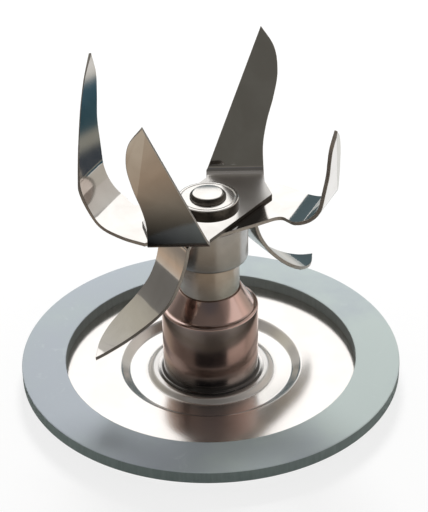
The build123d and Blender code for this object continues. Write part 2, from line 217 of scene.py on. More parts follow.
def eased_mesh(name, node, edge):
    """Copy of a node's mesh with its sharp edges rounded off by a small bevel."""
    shape = bmesh.new()
    shape.from_mesh(nodes[node].data)
    bmesh.ops.remove_doubles(shape, verts=shape.verts, dist=WELD_GAP * MM)
    flat = math.radians(FLAT_DEG)
    bmesh.ops.dissolve_limit(shape, angle_limit=flat, verts=shape.verts, edges=shape.edges)
    crease = math.radians(CREASE_DEG)
    sharp = [e for e in shape.edges if len(e.link_faces) == 2 and e.calc_face_angle() > crease]
    bmesh.ops.bevel(
        shape, geom=sharp, offset=edge * MM, offset_type="OFFSET", segments=EASED_STEPS, profile=0.5,
        affect="EDGES", clamp_overlap=True,
    )
    bmesh.ops.triangulate(shape, faces=[f for f in shape.faces if len(f.verts) > 4])
    return finished_mesh(name, shape, CREASE_DEG)


def smooth_run(points):
    """Smooth curve through the points, in small steps. Two points give a straight run."""
    spots = [Vector((*p, 0)) for p in points]
    if len(spots) == 2:
        return spots
    last = len(spots) - 1
    slopes = [(spots[min(k + 1, last)] - spots[max(k - 1, 0)]).normalized() for k in range(last + 1)]
    curve = []
    for k in range(last):
        start, end = spots[k], spots[k + 1]
        span = (end - start).length
        third = span / 3
        count = max(LEAST_CURVE_POINTS, round(span / OUTLINE_GAP))
        leave = start + slopes[k] * third
        arrive = end - slopes[k + 1] * third
        curve += interpolate_bezier(start, leave, arrive, end, count)[:-1]
    return curve + [spots[-1]]


def strip_point(path, under, along, rise):
    """Out and up of a point of a formed strip, so far along its underside and so far through it."""
    out, up, turn = 0.0, under, 0.0
    for length, bend in path:
        step = min(along, length)
        along -= step
        if bend == 0:
            out += step * math.cos(turn)
            up += step * math.sin(turn)
            continue
        radius = length / math.radians(bend)
        after = turn + step / radius
        out += radius * (math.sin(after) - math.sin(turn))
        up -= radius * (math.cos(after) - math.cos(turn))
        turn = after
    return out - rise * math.sin(turn), up + rise * math.cos(turn)


def flatted_hole(azimuth):
    """Outline of the hole for the shaft's two flats, turned back by the azimuth that the blade gets later."""
    hole = []
    for degrees in range(0, 360, HOLE_STEP_DEG):
        angle = math.radians(degrees)
        spoke = Vector((SEAT_HOLE * math.cos(angle), SEAT_HOLE * math.sin(angle), 0))
        spoke.y = max(-SEAT_FLAT, min(SEAT_FLAT, spoke.y))
        spoke.rotate(Matrix.Rotation(-math.radians(azimuth), 3, "Z"))
        hole.append(spoke)
    return hole


def blade_blank(azimuth, path, half_outline, grind):
    """Flat sheet of a blade with its hole, cut across where the strip will turn and along its grinding."""
    outline = [p for run in half_outline for p in smooth_run(run)[:-1]]
    outline += [-p for p in outline]
    blank = bmesh.new()
    for loop in (outline, flatted_hole(azimuth)):
        ring = [blank.verts.new(p) for p in loop]
        for k in range(len(ring)):
            blank.edges.new((ring[k - 1], ring[k]))
    bmesh.ops.triangle_fill(blank, use_beauty=True, edges=blank.edges[:], normal=(0, 0, 1))
    cuts = []
    along = 0.0
    for length, bend in path:
        if bend != 0:
            steps = math.ceil(abs(bend) / BEND_STEP_DEG)
            stations = [along + length * k / steps for k in range(steps + 1)]
            cuts += [(Vector((station, 0, 0)), Vector((1, 0, 0))) for station in stations]
        along += length
    if grind:
        line = Vector(grind[1]) - Vector(grind[0])
        cuts.append((Vector((*grind[0], 0)), Vector((line.y, -line.x, 0)).normalized()))
    bend_start = path[0][0] - CUT_SLACK
    for place, normal in cuts:
        for side in (1, -1):
            arm = [f for f in blank.faces if max(side * v.co.x for v in f.verts) > bend_start]
            geometry = set(arm) | {e for f in arm for e in f.edges} | {v for f in arm for v in f.verts}
            bmesh.ops.bisect_plane(
                blank, geom=list(geometry), dist=CUT_SLACK, plane_co=side * place, plane_no=normal,
            )
    bmesh.ops.remove_doubles(blank, verts=blank.verts, dist=BLANK_WELD_GAP)
    return blank


def ground_depth(spot, path, grind):
    """How deep the grinding cuts the underside at a point of the blank, with the edge on its line's right."""
    if not grind:
        return 0.0
    start, end, angle = Vector(grind[0]), Vector(grind[1]), math.radians(grind[2])
    line = (end - start).normalized()
    offset = Vector((abs(spot.x), math.copysign(1, spot.x) * spot.y)) - start
    beyond = offset.x * line.y - offset.y * line.x
    leaf_start = path[0][0] + path[1][0]
    radius = path[1][0] / math.radians(path[1][1])
    sag = max(0.0, leaf_start - abs(spot.x)) ** 2 / (2 * radius)
    return max(0.0, min(beyond * math.tan(angle) - sag, STOCK - GROUND_LAND))


def formed_blade(name, under, azimuth, path, half_outline, grind):
    """Mesh of a blade: its blank given the strip's thickness, ground, eased at its edges and bent."""
    blank = blade_blank(azimuth, path, half_outline, grind)
    turned = Matrix.Rotation(math.radians(azimuth), 3, "Z")

    def place(spot, rise):
        out, up = strip_point(path, under, abs(spot.x), rise)
        return turned @ Vector((math.copysign(out, spot.x), spot.y, up)) * MM

    inwards = {v: [] for v in blank.verts}
    border = [e for e in blank.edges if len(e.link_faces) == 1]
    for edge in border:
        a, b = (v.co for v in edge.verts)
        along = (b - a).normalized()
        normal = Vector((-along.y, along.x, 0))
        if normal.dot(edge.link_faces[0].calc_center_median() - a) < 0:
            normal.negate()
        for v in edge.verts:
            inwards[v].append(normal)
    shape = bmesh.new()
    layers = {}
    for v in blank.verts:
        spot = v.co.copy()
        depth = ground_depth(spot, path, grind)
        if inwards[v]:
            first, second = inwards[v][0], inwards[v][-1]
            inner = spot + (first + second) / max(MITRE_LEAST, 1 + first.dot(second)) * STRIP_EDGE
            rises = (STOCK, STOCK - STRIP_EDGE, depth + STRIP_EDGE, ground_depth(inner, path, grind))
            spots = (inner, spot, spot, inner)
        else:
            rises = (STOCK, depth)
            spots = (spot, spot)
        layers[v] = [shape.verts.new(place(p, rise)) for p, rise in zip(spots, rises)]
    for face in blank.faces:
        shape.faces.new([layers[v][0] for v in face.verts])
        shape.faces.new([layers[v][-1] for v in reversed(face.verts)])
    for edge in border:
        a, b = (layers[v] for v in edge.verts)
        for k in range(len(a) - 1):
            wall = shape.faces.new((a[k], b[k], b[k + 1], a[k + 1]))
            wall.material_index = 1
    blank.free()
    return finished_mesh(name, shape, BLADE_CREASE_DEG)


# Materials

def colour(hex_code):
    """Linear RGBA of an sRGB hex colour."""
    parts = [int(hex_code[k:k + 2], 16) / 255 for k in (1, 3, 5)]
    return [c / 12.92 if c <= 0.04045 else ((c + 0.055) / 1.055) ** 2.4 for c in parts] + [1.0]


def add(tree, kind, feeds=None, stops=(), **settings):
    """Adds a node with its settings, feeds its sockets, and sets a ramp's stops to colours or values."""
    made = tree.nodes.new(kind)
    for name, value in settings.items():
        setattr(made, name, value)
    for socket, value in (feeds or {}).items():
        if isinstance(value, bpy.types.NodeSocket):
            tree.links.new(value, made.inputs[socket])
        else:
            made.inputs[socket].default_value = value
    for k, (position, tone) in enumerate(stops):
        elements = made.color_ramp.elements
        if k == 0:
            elements.remove(elements[1])
            elements[0].position = position
        stop = elements[0] if k == 0 else elements.new(position)
        stop.color = colour(tone) if isinstance(tone, str) else (tone, tone, tone, 1.0)
    return made


def start_material(name):
    """New material with its node tree and shader."""
    material = bpy.data.materials.new(name)
    material.use_nodes = True
    return material, material.node_tree, material.node_tree.nodes["Principled BSDF"]


def per_mm(size):
    """Texture scale, in cycles a metre, whose features are about this many millimetres."""
    return 1 / (size * MM)


def axis_distance(tree, axes):
    """Output that gives a point's distance from the shaft's axis, from its separated coordinates."""
    flat = add(tree, "ShaderNodeCombineXYZ", {"X": axes.outputs["X"], "Y": axes.outputs["Y"]})
    return add(tree, "ShaderNodeVectorMath", {0: flat.outputs["Vector"]}, operation="LENGTH").outputs["Value"]


def bright_drawn_stainless():
    """Stainless sheet, deep drawn and buffed on a lathe: soft mirror images that spread round the axis."""
    warm_reflection_from, warm_reflection_full = 2 * MM, 5 * MM
    foot_shade_from, foot_shade_full = 5.2 * MM, 2.2 * MM
    foot_shade_outer, foot_shade_inner = 9.1 * MM, 8.6 * MM
    blur_inner, blur_outer = 8 * MM, 12 * MM
    material, tree, shader = start_material("bright_drawn_stainless")
    place = add(tree, "ShaderNodeTexCoord").outputs["Object"]
    axes = add(tree, "ShaderNodeSeparateXYZ", {"Vector": place})
    out = axis_distance(tree, axes)
    rub = add(tree, "ShaderNodeTexNoise", {"Vector": place, "Scale": per_mm(6), "Detail": 3.0})

    # Pale on the pan and the flange, with a painted warm reflection on the hub and a painted shade round the
    # hub's foot
    tone = add(tree, "ShaderNodeValToRGB", {"Fac": rub.outputs["Fac"]},
               stops=[(0.35, "#E1DDD9"), (0.65, "#E8E5E1")])
    warm_reflection_share = add(tree, "ShaderNodeMapRange", {
        "Value": axes.outputs["Z"], "From Min": warm_reflection_from, "From Max": warm_reflection_full})
    warm_reflected = add(tree, "ShaderNodeMixRGB", {
        "Fac": warm_reflection_share.outputs["Result"], "Color1": tone.outputs["Color"], "Color2": colour("#CBB2AA")})
    foot_shade_height = add(tree, "ShaderNodeMapRange", {
        "Value": axes.outputs["Z"], "From Min": foot_shade_from, "From Max": foot_shade_full, "To Max": 0.9})
    at_hub = add(tree, "ShaderNodeMapRange", {"Value": out, "From Min": foot_shade_outer, "From Max": foot_shade_inner})
    shade_mask = add(tree, "ShaderNodeMath", {0: foot_shade_height.outputs["Result"], 1: at_hub.outputs["Result"]},
               operation="MULTIPLY")
    foot_shaded = add(tree, "ShaderNodeMixRGB", {
        "Fac": shade_mask.outputs["Value"], "Color1": warm_reflected.outputs["Color"], "Color2": colour("#262223")})

    # Roughness by the distance from the axis, highest over the bead, and a little by the rubbing
    share = add(tree, "ShaderNodeMapRange", {"Value": out, "From Min": blur_inner, "From Max": blur_outer})
    blur = add(tree, "ShaderNodeValToRGB", {"Fac": share.outputs["Result"]},
               stops=[(0.15, 0.112), (0.35, 0.262), (0.75, 0.262), (1.0, 0.15)])
    buffed = add(tree, "ShaderNodeMapRange", {"Value": rub.outputs["Fac"], "To Max": 0.06})
    gloss = add(tree, "ShaderNodeMath", {0: blur.outputs["Color"], 1: buffed.outputs["Result"]},
                operation="ADD")
    around = add(tree, "ShaderNodeTangent", direction_type="RADIAL", axis="Z")
    tree.links.new(foot_shaded.outputs["Color"], shader.inputs["Base Color"])
    tree.links.new(gloss.outputs["Value"], shader.inputs["Roughness"])
    tree.links.new(around.outputs["Tangent"], shader.inputs["Tangent"])
    shader.inputs["Anisotropic"].default_value = 0.5
    shader.inputs["Metallic"].default_value = 1.0
    return material


def polished_blade_steel(name, under_shade_low=0, under_shade_high=1, plate_top=0, plate_dulling=0.0, gap_shade_radius=0):
    """Hardened stainless strip, polished after grinding: clear mirror images under thin smears.

    Painted shade on an arm's underside is full at the lower height and gone at the higher one. Up to the
    plate's top the steel is rougher by the dulling, and within the radius of the painted gap shade it is
    dark.
    """
    under_shade_lean = 0.5
    dull_from, dull_full = (plate_top + 0.6) * MM, (plate_top + 0.1) * MM
    gap_shade_fade = 1
    material, tree, shader = start_material(name)
    place = add(tree, "ShaderNodeTexCoord").outputs["Object"]
    normal = add(tree, "ShaderNodeTexCoord").outputs["Normal"]
    axes = add(tree, "ShaderNodeSeparateXYZ", {"Vector": place})
    smear = add(tree, "ShaderNodeTexNoise", {
        "Vector": place, "Scale": per_mm(5), "Detail": 4.0, "Distortion": 0.6})
    tone = add(tree, "ShaderNodeValToRGB", {"Fac": smear.outputs["Fac"]},
               stops=[(0.3, "#D2CEC9"), (0.7, "#DCD9D5")])
    gloss = add(tree, "ShaderNodeMapRange", {"Value": smear.outputs["Fac"], "To Min": 0.05, "To Max": 0.09})
    dull = add(tree, "ShaderNodeMapRange", {
        "Value": axes.outputs["Z"], "From Min": dull_from, "From Max": dull_full, "To Max": plate_dulling})
    rough = add(tree, "ShaderNodeMath", {0: gloss.outputs["Result"], 1: dull.outputs["Result"]},
                operation="ADD")

    # Painted shade lies on faces that look down, and reaches higher on one side of both arms
    facing = add(tree, "ShaderNodeSeparateXYZ", {"Vector": normal})
    under = add(tree, "ShaderNodeMapRange", {
        "Value": facing.outputs["Z"], "From Min": -0.05, "From Max": -0.2})
    arm = add(tree, "ShaderNodeMath", {0: axes.outputs["Y"]}, operation="SIGN")
    across = add(tree, "ShaderNodeMath", {0: axes.outputs["X"], 1: arm.outputs["Value"]},
                 operation="MULTIPLY")
    level = add(tree, "ShaderNodeMath", {0: across.outputs["Value"], 1: -under_shade_lean, 2: axes.outputs["Z"]},
                operation="MULTIPLY_ADD")
    near = add(tree, "ShaderNodeMapRange", {
        "Value": level.outputs["Value"], "From Min": under_shade_high * MM, "From Max": under_shade_low * MM})
    shade_mask = add(tree, "ShaderNodeMath", {0: under.outputs["Result"], 1: near.outputs["Result"]},
               operation="MULTIPLY")

    # Painted shade between the plates, close to the shaft
    gap_shade = add(tree, "ShaderNodeMapRange", {
        "Value": axis_distance(tree, axes), "From Min": (gap_shade_radius + gap_shade_fade) * MM,
        "From Max": gap_shade_radius * MM, "To Max": 0.75})
    shade_share = add(tree, "ShaderNodeMath", {0: shade_mask.outputs["Value"], 1: gap_shade.outputs["Result"]},
               operation="MAXIMUM")
    shaded_tone = add(tree, "ShaderNodeMixRGB", {
        "Fac": shade_share.outputs["Value"], "Color1": tone.outputs["Color"], "Color2": colour("#2A2826")})
    tree.links.new(shaded_tone.outputs["Color"], shader.inputs["Base Color"])
    tree.links.new(rough.outputs["Value"], shader.inputs["Roughness"])
    shader.inputs["Metallic"].default_value = 1.0
    return material


def turned_stainless(name, dark, pale, smooth, rough):
    """Stainless bar, turned: fine rings round the axis, drawn coarser than life so that they show."""
    material, tree, shader = start_material(name)
    place = add(tree, "ShaderNodeTexCoord").outputs["Object"]
    axes = add(tree, "ShaderNodeSeparateXYZ", {"Vector": place})
    ring = add(tree, "ShaderNodeCombineXYZ", {"X": axis_distance(tree, axes), "Y": axes.outputs["Z"]})
    lines = add(tree, "ShaderNodeTexNoise", {
        "Vector": ring.outputs["Vector"], "Scale": per_mm(0.25), "Detail": 3.0})
    blotch = add(tree, "ShaderNodeTexNoise", {"Vector": place, "Scale": per_mm(3), "Detail": 3.0})
    tone = add(tree, "ShaderNodeValToRGB", {"Fac": blotch.outputs["Fac"]}, stops=[(0.3, dark), (0.7, pale)])
    gloss = add(tree, "ShaderNodeMapRange", {
        "Value": lines.outputs["Fac"], "To Min": smooth, "To Max": rough})
    bump = add(tree, "ShaderNodeBump", {
        "Height": lines.outputs["Fac"], "Strength": 0.02, "Distance": 0.02 * MM})
    tree.links.new(tone.outputs["Color"], shader.inputs["Base Color"])
    tree.links.new(gloss.outputs["Result"], shader.inputs["Roughness"])
    tree.links.new(bump.outputs["Normal"], shader.inputs["Normal"])
    shader.inputs["Metallic"].default_value = 1.0
    return material


def gasket_rubber():
    """Grey nitrile sheet with a moulded skin: satin, slightly blue, with a faint bloom and pale scuffs."""
    side_light_reach = 30 * MM
    material, tree, shader = start_material("gasket_rubber")
    place = add(tree, "ShaderNodeTexCoord").outputs["Object"]
    axes = add(tree, "ShaderNodeSeparateXYZ", {"Vector": place})

    # The bloom, with a painted side light: bluer and darker on the left, greener and lighter on the right
    bloom = add(tree, "ShaderNodeTexNoise", {
        "Vector": place, "Scale": per_mm(18), "Detail": 4.0, "Roughness": 0.6})
    side = add(tree, "ShaderNodeMapRange", {
        "Value": axes.outputs["X"], "From Min": -side_light_reach, "From Max": side_light_reach,
        "To Min": -0.15, "To Max": 0.15})
    bloom_and_side_light = add(tree, "ShaderNodeMath", {0: bloom.outputs["Fac"], 1: side.outputs["Result"]},
                operation="ADD")
    tone = add(tree, "ShaderNodeValToRGB", {"Fac": bloom_and_side_light.outputs["Value"]},
               stops=[(0.3, "#ABB2B9"), (0.5, "#ADB6B9"), (0.7, "#B6C1BE")])
    scuff = add(tree, "ShaderNodeTexNoise", {
        "Vector": place, "Scale": per_mm(3.5), "Detail": 5.0, "Roughness": 0.7, "Distortion": 1.2})
    worn = add(tree, "ShaderNodeMapRange", {
        "Value": scuff.outputs["Fac"], "From Min": 0.6, "From Max": 0.75, "To Max": 0.35})
    faced = add(tree, "ShaderNodeMixRGB", {
        "Fac": worn.outputs["Result"], "Color1": tone.outputs["Color"], "Color2": colour("#C9D2D1")})
    gloss = add(tree, "ShaderNodeMapRange", {"Value": bloom.outputs["Fac"], "To Min": 0.4, "To Max": 0.55})
    grain = add(tree, "ShaderNodeTexNoise", {"Vector": place, "Scale": per_mm(0.4), "Detail": 3.0})
    bump = add(tree, "ShaderNodeBump", {
        "Height": grain.outputs["Fac"], "Strength": 0.12, "Distance": 0.03 * MM})
    tree.links.new(faced.outputs["Color"], shader.inputs["Base Color"])
    tree.links.new(gloss.outputs["Result"], shader.inputs["Roughness"])
    tree.links.new(bump.outputs["Normal"], shader.inputs["Normal"])
    return material


def cut_rubber(name, dark, pale):
    """The same rubber where the punch cut it: dull, with fine marks along the cut, and darker than the top by
    painted shade.
    """
    mark_stretch = 0.15
    material, tree, shader = start_material(name)
    place = add(tree, "ShaderNodeTexCoord").outputs["Object"]
    stretched = add(tree, "ShaderNodeMapping", {"Vector": place, "Scale": (1.0, 1.0, mark_stretch)})
    marks = add(tree, "ShaderNodeTexNoise", {
        "Vector": stretched.outputs["Vector"], "Scale": per_mm(0.5), "Detail": 3.0})
    tone = add(tree, "ShaderNodeValToRGB", {"Fac": marks.outputs["Fac"]}, stops=[(0.3, dark), (0.7, pale)])
    bump = add(tree, "ShaderNodeBump", {
        "Height": marks.outputs["Fac"], "Strength": 0.25, "Distance": 0.04 * MM})
    tree.links.new(tone.outputs["Color"], shader.inputs["Base Color"])
    tree.links.new(bump.outputs["Normal"], shader.inputs["Normal"])
    shader.inputs["Roughness"].default_value = 0.75
    shader.inputs["Specular IOR Level"].default_value = 0.3
    return material


def mottled_finish(name, dark, pale, size, rough, metallic=0.0):
    """Finish with an uneven mottle of two tones, for narrow edges and for the pieces that are hidden."""
    material, tree, shader = start_material(name)
    place = add(tree, "ShaderNodeTexCoord").outputs["Object"]
    mottle = add(tree, "ShaderNodeTexNoise", {"Vector": place, "Scale": per_mm(size), "Detail": 4.0})
    tone = add(tree, "ShaderNodeValToRGB", {"Fac": mottle.outputs["Fac"]}, stops=[(0.35, dark), (0.65, pale)])
    bump = add(tree, "ShaderNodeBump", {
        "Height": mottle.outputs["Fac"], "Strength": 0.2, "Distance": 0.05 * MM})
    tree.links.new(tone.outputs["Color"], shader.inputs["Base Color"])
    tree.links.new(bump.outputs["Normal"], shader.inputs["Normal"])
    shader.inputs["Roughness"].default_value = rough
    shader.inputs["Metallic"].default_value = metallic
    return material


def dress(piece, material):
    """Gives a piece one material in place of any it has."""
    piece.data.materials.clear()
    piece.data.materials.append(material)


# The three plates lie on the collar, one on another
collar_high = high("slinger_collar")
plates_top = collar_high + 3 * STOCK

base_steel = bright_drawn_stainless()
blade_steel = polished_blade_steel("polished_blade_steel")
# Painted shade in the gap between the middle and upper plates, near the shaft
gap_shaded_steel = polished_blade_steel("polished_blade_steel_with_painted_gap_shade", gap_shade_radius=8.9)
# Painted shade on the upper blade's arm undersides, low down by the fold
under_shaded_steel = polished_blade_steel(
    "polished_blade_steel_with_painted_under_shade", under_shade_low=30, under_shade_high=40, plate_top=plates_top, plate_dulling=0.24,
)
sleeve_steel = turned_stainless("turned_stainless", "#ABA298", "#BAB1A7", 0.18, 0.3)
collar_steel = turned_stainless("turned_collar_stainless", "#9A9A98", "#A9A8A6", 0.22, 0.26)
washer_steel = turned_stainless("bright_turned_stainless", "#D5D1CC", "#DEDBD6", 0.1, 0.18)
rubber = gasket_rubber()
# Painted shade on the ring's cut walls, lighter on the bore than outside
shaded_rubber_edge = cut_rubber("cut_rubber_edge_painted_shade", "#6B7775", "#76827F")
shaded_rubber_bore = cut_rubber("cut_rubber_bore_painted_shade", "#8F9794", "#9BA3A0")
# The strip's sheared edge is duller than its faces and darker by painted shade, and the walls of small turned
# pieces are dark by painted shade
shaded_cut_steel = mottled_finish("sheared_blade_edge_painted_shade", "#98938D", "#ABA6A0", 0.3, 0.42, 1.0)
shaded_wall_steel = mottled_finish("turned_edge_painted_shade", "#4A4641", "#58534D", 0.4, 0.35, 1.0)

# The pressed base, from the flange's edge over the bead and the hub to the hole in the cone
base_outer = half_width("drawn_base")
flange_top = low("sealing_ring")
flange_under = flange_top - SHEET
cone_top = high("drawn_base")
base_outline = [
    (base_outer, flange_under, 0),
    (base_outer, flange_top, FLANGE_EDGE),
    (STEP_RADIUS, flange_top, STEP_ROUND),
    (STEP_RADIUS - STEP_RUN, SHEET, STEP_ROUND),
    (BEAD_START_RADIUS, SHEET, BEAD_ROUND),
    (BEAD_OUTER_CREST, SHEET + BEAD_HEIGHT, BEAD_ROUND),
    (BEAD_INNER_CREST, SHEET + BEAD_HEIGHT, BEAD_INNER_ROUND),
    (HUB_RADIUS, SHEET + FOOT_VALLEY, FOOT_ROUND),
    (HUB_RADIUS, HUB_WALL_TOP, RIM_ROUND),
    (RIM_VALLEY_RADIUS, RIM_VALLEY_TOP, RIM_VALLEY_ROUND),
    (CONE_HOLE_RADIUS, cone_top, CONE_HOLE_EDGE),
    (CONE_HOLE_RADIUS, cone_top - CONE_INNER_DROP, 0),
    (RIM_VALLEY_RADIUS - SHEET, RIM_VALLEY_TOP - SHEET, 0),
    (HUB_RADIUS - SHEET, RIM_VALLEY_TOP - SHEET, 0),
    (HUB_RADIUS - SHEET, SHEET + FOOT_VALLEY, FOOT_INNER_ROUND),
    (UNDER_BEAD_END, FOOT_VALLEY, UNDER_BEAD_ROUND),
    (UNDER_BEAD_CREST, BEAD_HEIGHT, UNDER_BEAD_ROUND),
    (UNDER_BEAD_START, 0, UNDER_BEAD_ROUND),
    (STEP_RADIUS - STEP_RUN + SHEET / 2, 0, STEP_ROUND),
    (STEP_RADIUS + SHEET / 2, flange_under, STEP_ROUND),
]
base_mesh = turned_mesh("pressed_base", base_outline)
add_piece("pressed_base", base_mesh, "base", "drawn_base", base_steel)

# The rubber ring, punched from sheet, with its cut walls in materials of their own that carry painted shade,
# less on the bore than on the outer wall
ring_outer = half_width("sealing_ring")
ring_inner = ring_outer - RING_WIDTH
ring_top = high("sealing_ring")
ring_outline = [
    (ring_inner, flange_top, RING_UNDER_EDGE),
    (ring_outer, flange_top, RING_UNDER_EDGE),
    (ring_outer, ring_top, RING_EDGE),
    (ring_inner, ring_top, RING_EDGE),
]
ring_mesh = turned_mesh("rubber_ring", ring_outline)
add_piece("rubber_ring", ring_mesh, "base", "sealing_ring", rubber)
ring_mesh.materials.append(shaded_rubber_edge)
ring_mesh.materials.append(shaded_rubber_bore)
ring_middle = (ring_outer + ring_inner) / 2 * MM
for face in ring_mesh.polygons:
    if abs(face.normal.z) < RING_WALL_TILT:
        face.material_index = 1 if face.center.xy.length > ring_middle else 2

# The bearing sleeve, whose neck shows between the cone and the collar
sleeve_outer = half_width("bearing_sleeve")
sleeve_low = low("bearing_sleeve")
neck_top = high("bearing_sleeve")
shoulder = RIM_VALLEY_TOP - SHEET
sleeve_outline = [
    (SLEEVE_BORE, sleeve_low, 0),
    (sleeve_outer, sleeve_low, SLEEVE_EDGE),
    (sleeve_outer, shoulder, 0),
    (NECK_RADIUS, shoulder, 0),
    (NECK_RADIUS, neck_top, NECK_EDGE),
    (SLEEVE_BORE, neck_top, SLEEVE_EDGE),
]
sleeve_mesh = turned_mesh("turned_sleeve", sleeve_outline)
add_piece("turned_sleeve", sleeve_mesh, "base", "bearing_sleeve", sleeve_steel)

# The collar, with a rounded skirt and a cavity over the neck
collar_outer = half_width("slinger_collar")
collar_low = low("slinger_collar")
collar_outline = [
    (COLLAR_BORE, collar_low, COLLAR_EDGE),
    (collar_outer, collar_low, COLLAR_SKIRT_EDGE),
    (collar_outer, collar_high, COLLAR_EDGE),
    (SEAT_HOLE, collar_high, 0),
    (SEAT_HOLE, collar_low + COLLAR_CAVITY, 0),
    (COLLAR_BORE, collar_low + COLLAR_CAVITY, COLLAR_CAVITY_ROUND),
]
collar_mesh = turned_mesh("turned_collar", collar_outline)
add_piece("turned_collar", collar_mesh, "rotor", "slinger_collar", collar_steel)


def darken_walls(piece, tilt):
    """Gives a turned piece's walls, up to this tilt of their normals, the steel with painted shade."""
    piece.data.materials.append(shaded_wall_steel)
    for face in piece.data.polygons:
        face.material_index = 1 if abs(face.normal.z) < tilt else 0


# The clamp washer, with a fine groove inside its edge, and the shaft with its peened head
washer_outer = half_width("top_washer")
washer_low = low("top_washer")
washer_top = high("top_washer")
washer_outline = [
    (SEAT_HOLE, washer_low, 0),
    (washer_outer, washer_low, WASHER_UNDER_EDGE),
    (washer_outer, washer_top, WASHER_EDGE),
    (WASHER_GROOVE_RADIUS + WASHER_GROOVE, washer_top, WASHER_GROOVE_ROUND),
    (WASHER_GROOVE_RADIUS, washer_top - WASHER_GROOVE, WASHER_GROOVE_ROUND),
    (WASHER_GROOVE_RADIUS - WASHER_GROOVE, washer_top, WASHER_GROOVE_ROUND),
    (SEAT_HOLE, washer_top, 0),
]
washer_mesh = turned_mesh("clamp_washer", washer_outline)
washer = add_piece("clamp_washer", washer_mesh, "rotor", "top_washer", washer_steel)
shaft_mesh = eased_mesh("peened_shaft", "drive_shaft", SHAFT_EDGE)
shaft = add_piece("peened_shaft", shaft_mesh, "rotor", "drive_shaft", washer_steel)
darken_walls(washer, WASHER_WALL_TILT)
darken_walls(shaft, SHAFT_WALL_TILT)
# The photograph's plate shows no image of the washer's wall, so mirrors don't see the washer
washer.visible_glossy = False

# The blades. A path gives the lengths of the strip's underside and the degrees that each one turns.
# A blank is drawn flat, out along one arm and across it, in runs that end at its corners, and the other
# arm is the same half a turn on. A ground edge lies on the right of its line, at so many degrees.
UPPER_AZIMUTH = -90.0
UPPER_PATH = [(10.9, 0), (3.14, 75), (30, 0)]
UPPER_BLANK = [
    [(4.2, -10.9), (8.9, -9.8)],
    [(8.9, -9.8), (13.0, -9.8)],
    [(13.0, -9.8), (17.6, -9.75), (21.8, -10.45), (26.0, -11.6), (30.2, -12.3), (34.5, -11.75),
     (38.05, -9.5)],
    [(38.05, -9.5), (12.9, 0.2)],
    [(12.9, 0.2), (10.6, 0.2)],
    [(10.6, 0.2), (-4.2, 10.9)],
]
UPPER_GRIND = ((24.2, -10.9), (37.3, -9.0), 12)
MIDDLE_AZIMUTH = -24.4
MIDDLE_PATH = [(12.5, 0), (10.95, 76.5), (30, 0)]
MIDDLE_BLANK = [
    [(0, -8.95), (3.6, -8.0)],
    [(3.6, -8.0), (8.5, -1.5)],
    [(8.5, -1.5), (10.1, 0.75), (11.3, 2.3), (12.3, 2.8), (13.4, 2.3), (14.9, 1.45), (18.0, 0.75),
     (21.7, -0.15), (25.9, -1.27), (30.0, -2.4), (33.7, -4.35), (37.0, -5.85), (40.4, -6.0)],
    [(40.4, -6.0), (37.4, -2.0), (33.7, 1.4), (28.2, 5.15), (22.9, 7.9), (18.2, 9.6), (14.5, 11.4),
     (9.4, 13.1), (5.2, 13.6)],
    [(5.2, 13.6), (3.5, 11.55), (0, 8.95)],
]
MIDDLE_GRIND = ((38.05, -5.0), (27.55, 3.0), 11)
LOWER_AZIMUTH = -149.0
LOWER_PATH = [(6.9, 0), (1.3, -82.8), (26.61, 78)]
LOWER_BLANK = [
    [(0, -6.2), (7.6, -2.2)],
    [(7.6, -2.2), (11.2, -1.45), (16.0, -1.1), (20.7, -1.55), (24.6, -1.87), (28.0, -1.2), (31.0, 0.7),
     (33.6, 3.85)],
    [(33.6, 3.85), (30.0, 4.03), (25.2, 4.8), (18.2, 6.5), (12.5, 6.7), (7.6, 6.9)],
    [(7.6, 6.9), (5.6, 5.7)],
    [(5.6, 5.7), (0, 6.2)],
]
PLATE_EDGE_MARGIN = 0.1


def add_blade(blade, plates_below, azimuth, path, half_outline, grind, face_steel):
    """A formed blade on the collar or on the plates below it, with the sheared steel on its edges."""
    under = collar_high + plates_below * STOCK
    mesh = formed_blade(blade + "_formed_blade", under, azimuth, path, half_outline, grind)
    add_piece(blade + "_polished_blade", mesh, "rotor", blade + "_blade", face_steel)
    mesh.materials.append(shaded_cut_steel)
    return mesh


add_blade("lower", 0, LOWER_AZIMUTH, LOWER_PATH, LOWER_BLANK, None, blade_steel)
add_blade("middle", 1, MIDDLE_AZIMUTH, MIDDLE_PATH, MIDDLE_BLANK, MIDDLE_GRIND, gap_shaded_steel)
upper = add_blade("upper", 2, UPPER_AZIMUTH, UPPER_PATH, UPPER_BLANK, UPPER_GRIND, under_shaded_steel)
# The edge of the upper plate gets the painted shade too, darker than the edges of its arms
upper.materials.append(shaded_wall_steel)
for face in upper.polygons:
    if face.material_index == 1 and face.center.z < (plates_top + PLATE_EDGE_MARGIN) * MM:
        face.material_index = 2

# Pieces that the base and the sleeve hide: porous bronze, oil-soaked felt, black rubber and milky nylon
bronze = mottled_finish("sintered_bronze", "#7A5A36", "#A5814F", 0.4, 0.5, 1.0)
felt = mottled_finish("oiled_wool_felt", "#8A8371", "#B4AC98", 0.5, 0.95)
nitrile = mottled_finish("black_nitrile", "#1E1F20", "#2C2D2E", 0.8, 0.6)
nylon = mottled_finish("natural_nylon", "#D8D2C0", "#E4DFD0", 2.0, 0.45)
hidden_finishes = {
    "lower_bush": bronze,
    "upper_bush": bronze,
    "oil_felt": felt,
    "shaft_seal": nitrile,
    "neck_o_ring": nitrile,
    "upper_thrust_washer": nylon,
    "lower_thrust_washer": nylon,
}
for node, finish in hidden_finishes.items():
    dress(nodes[node], finish)

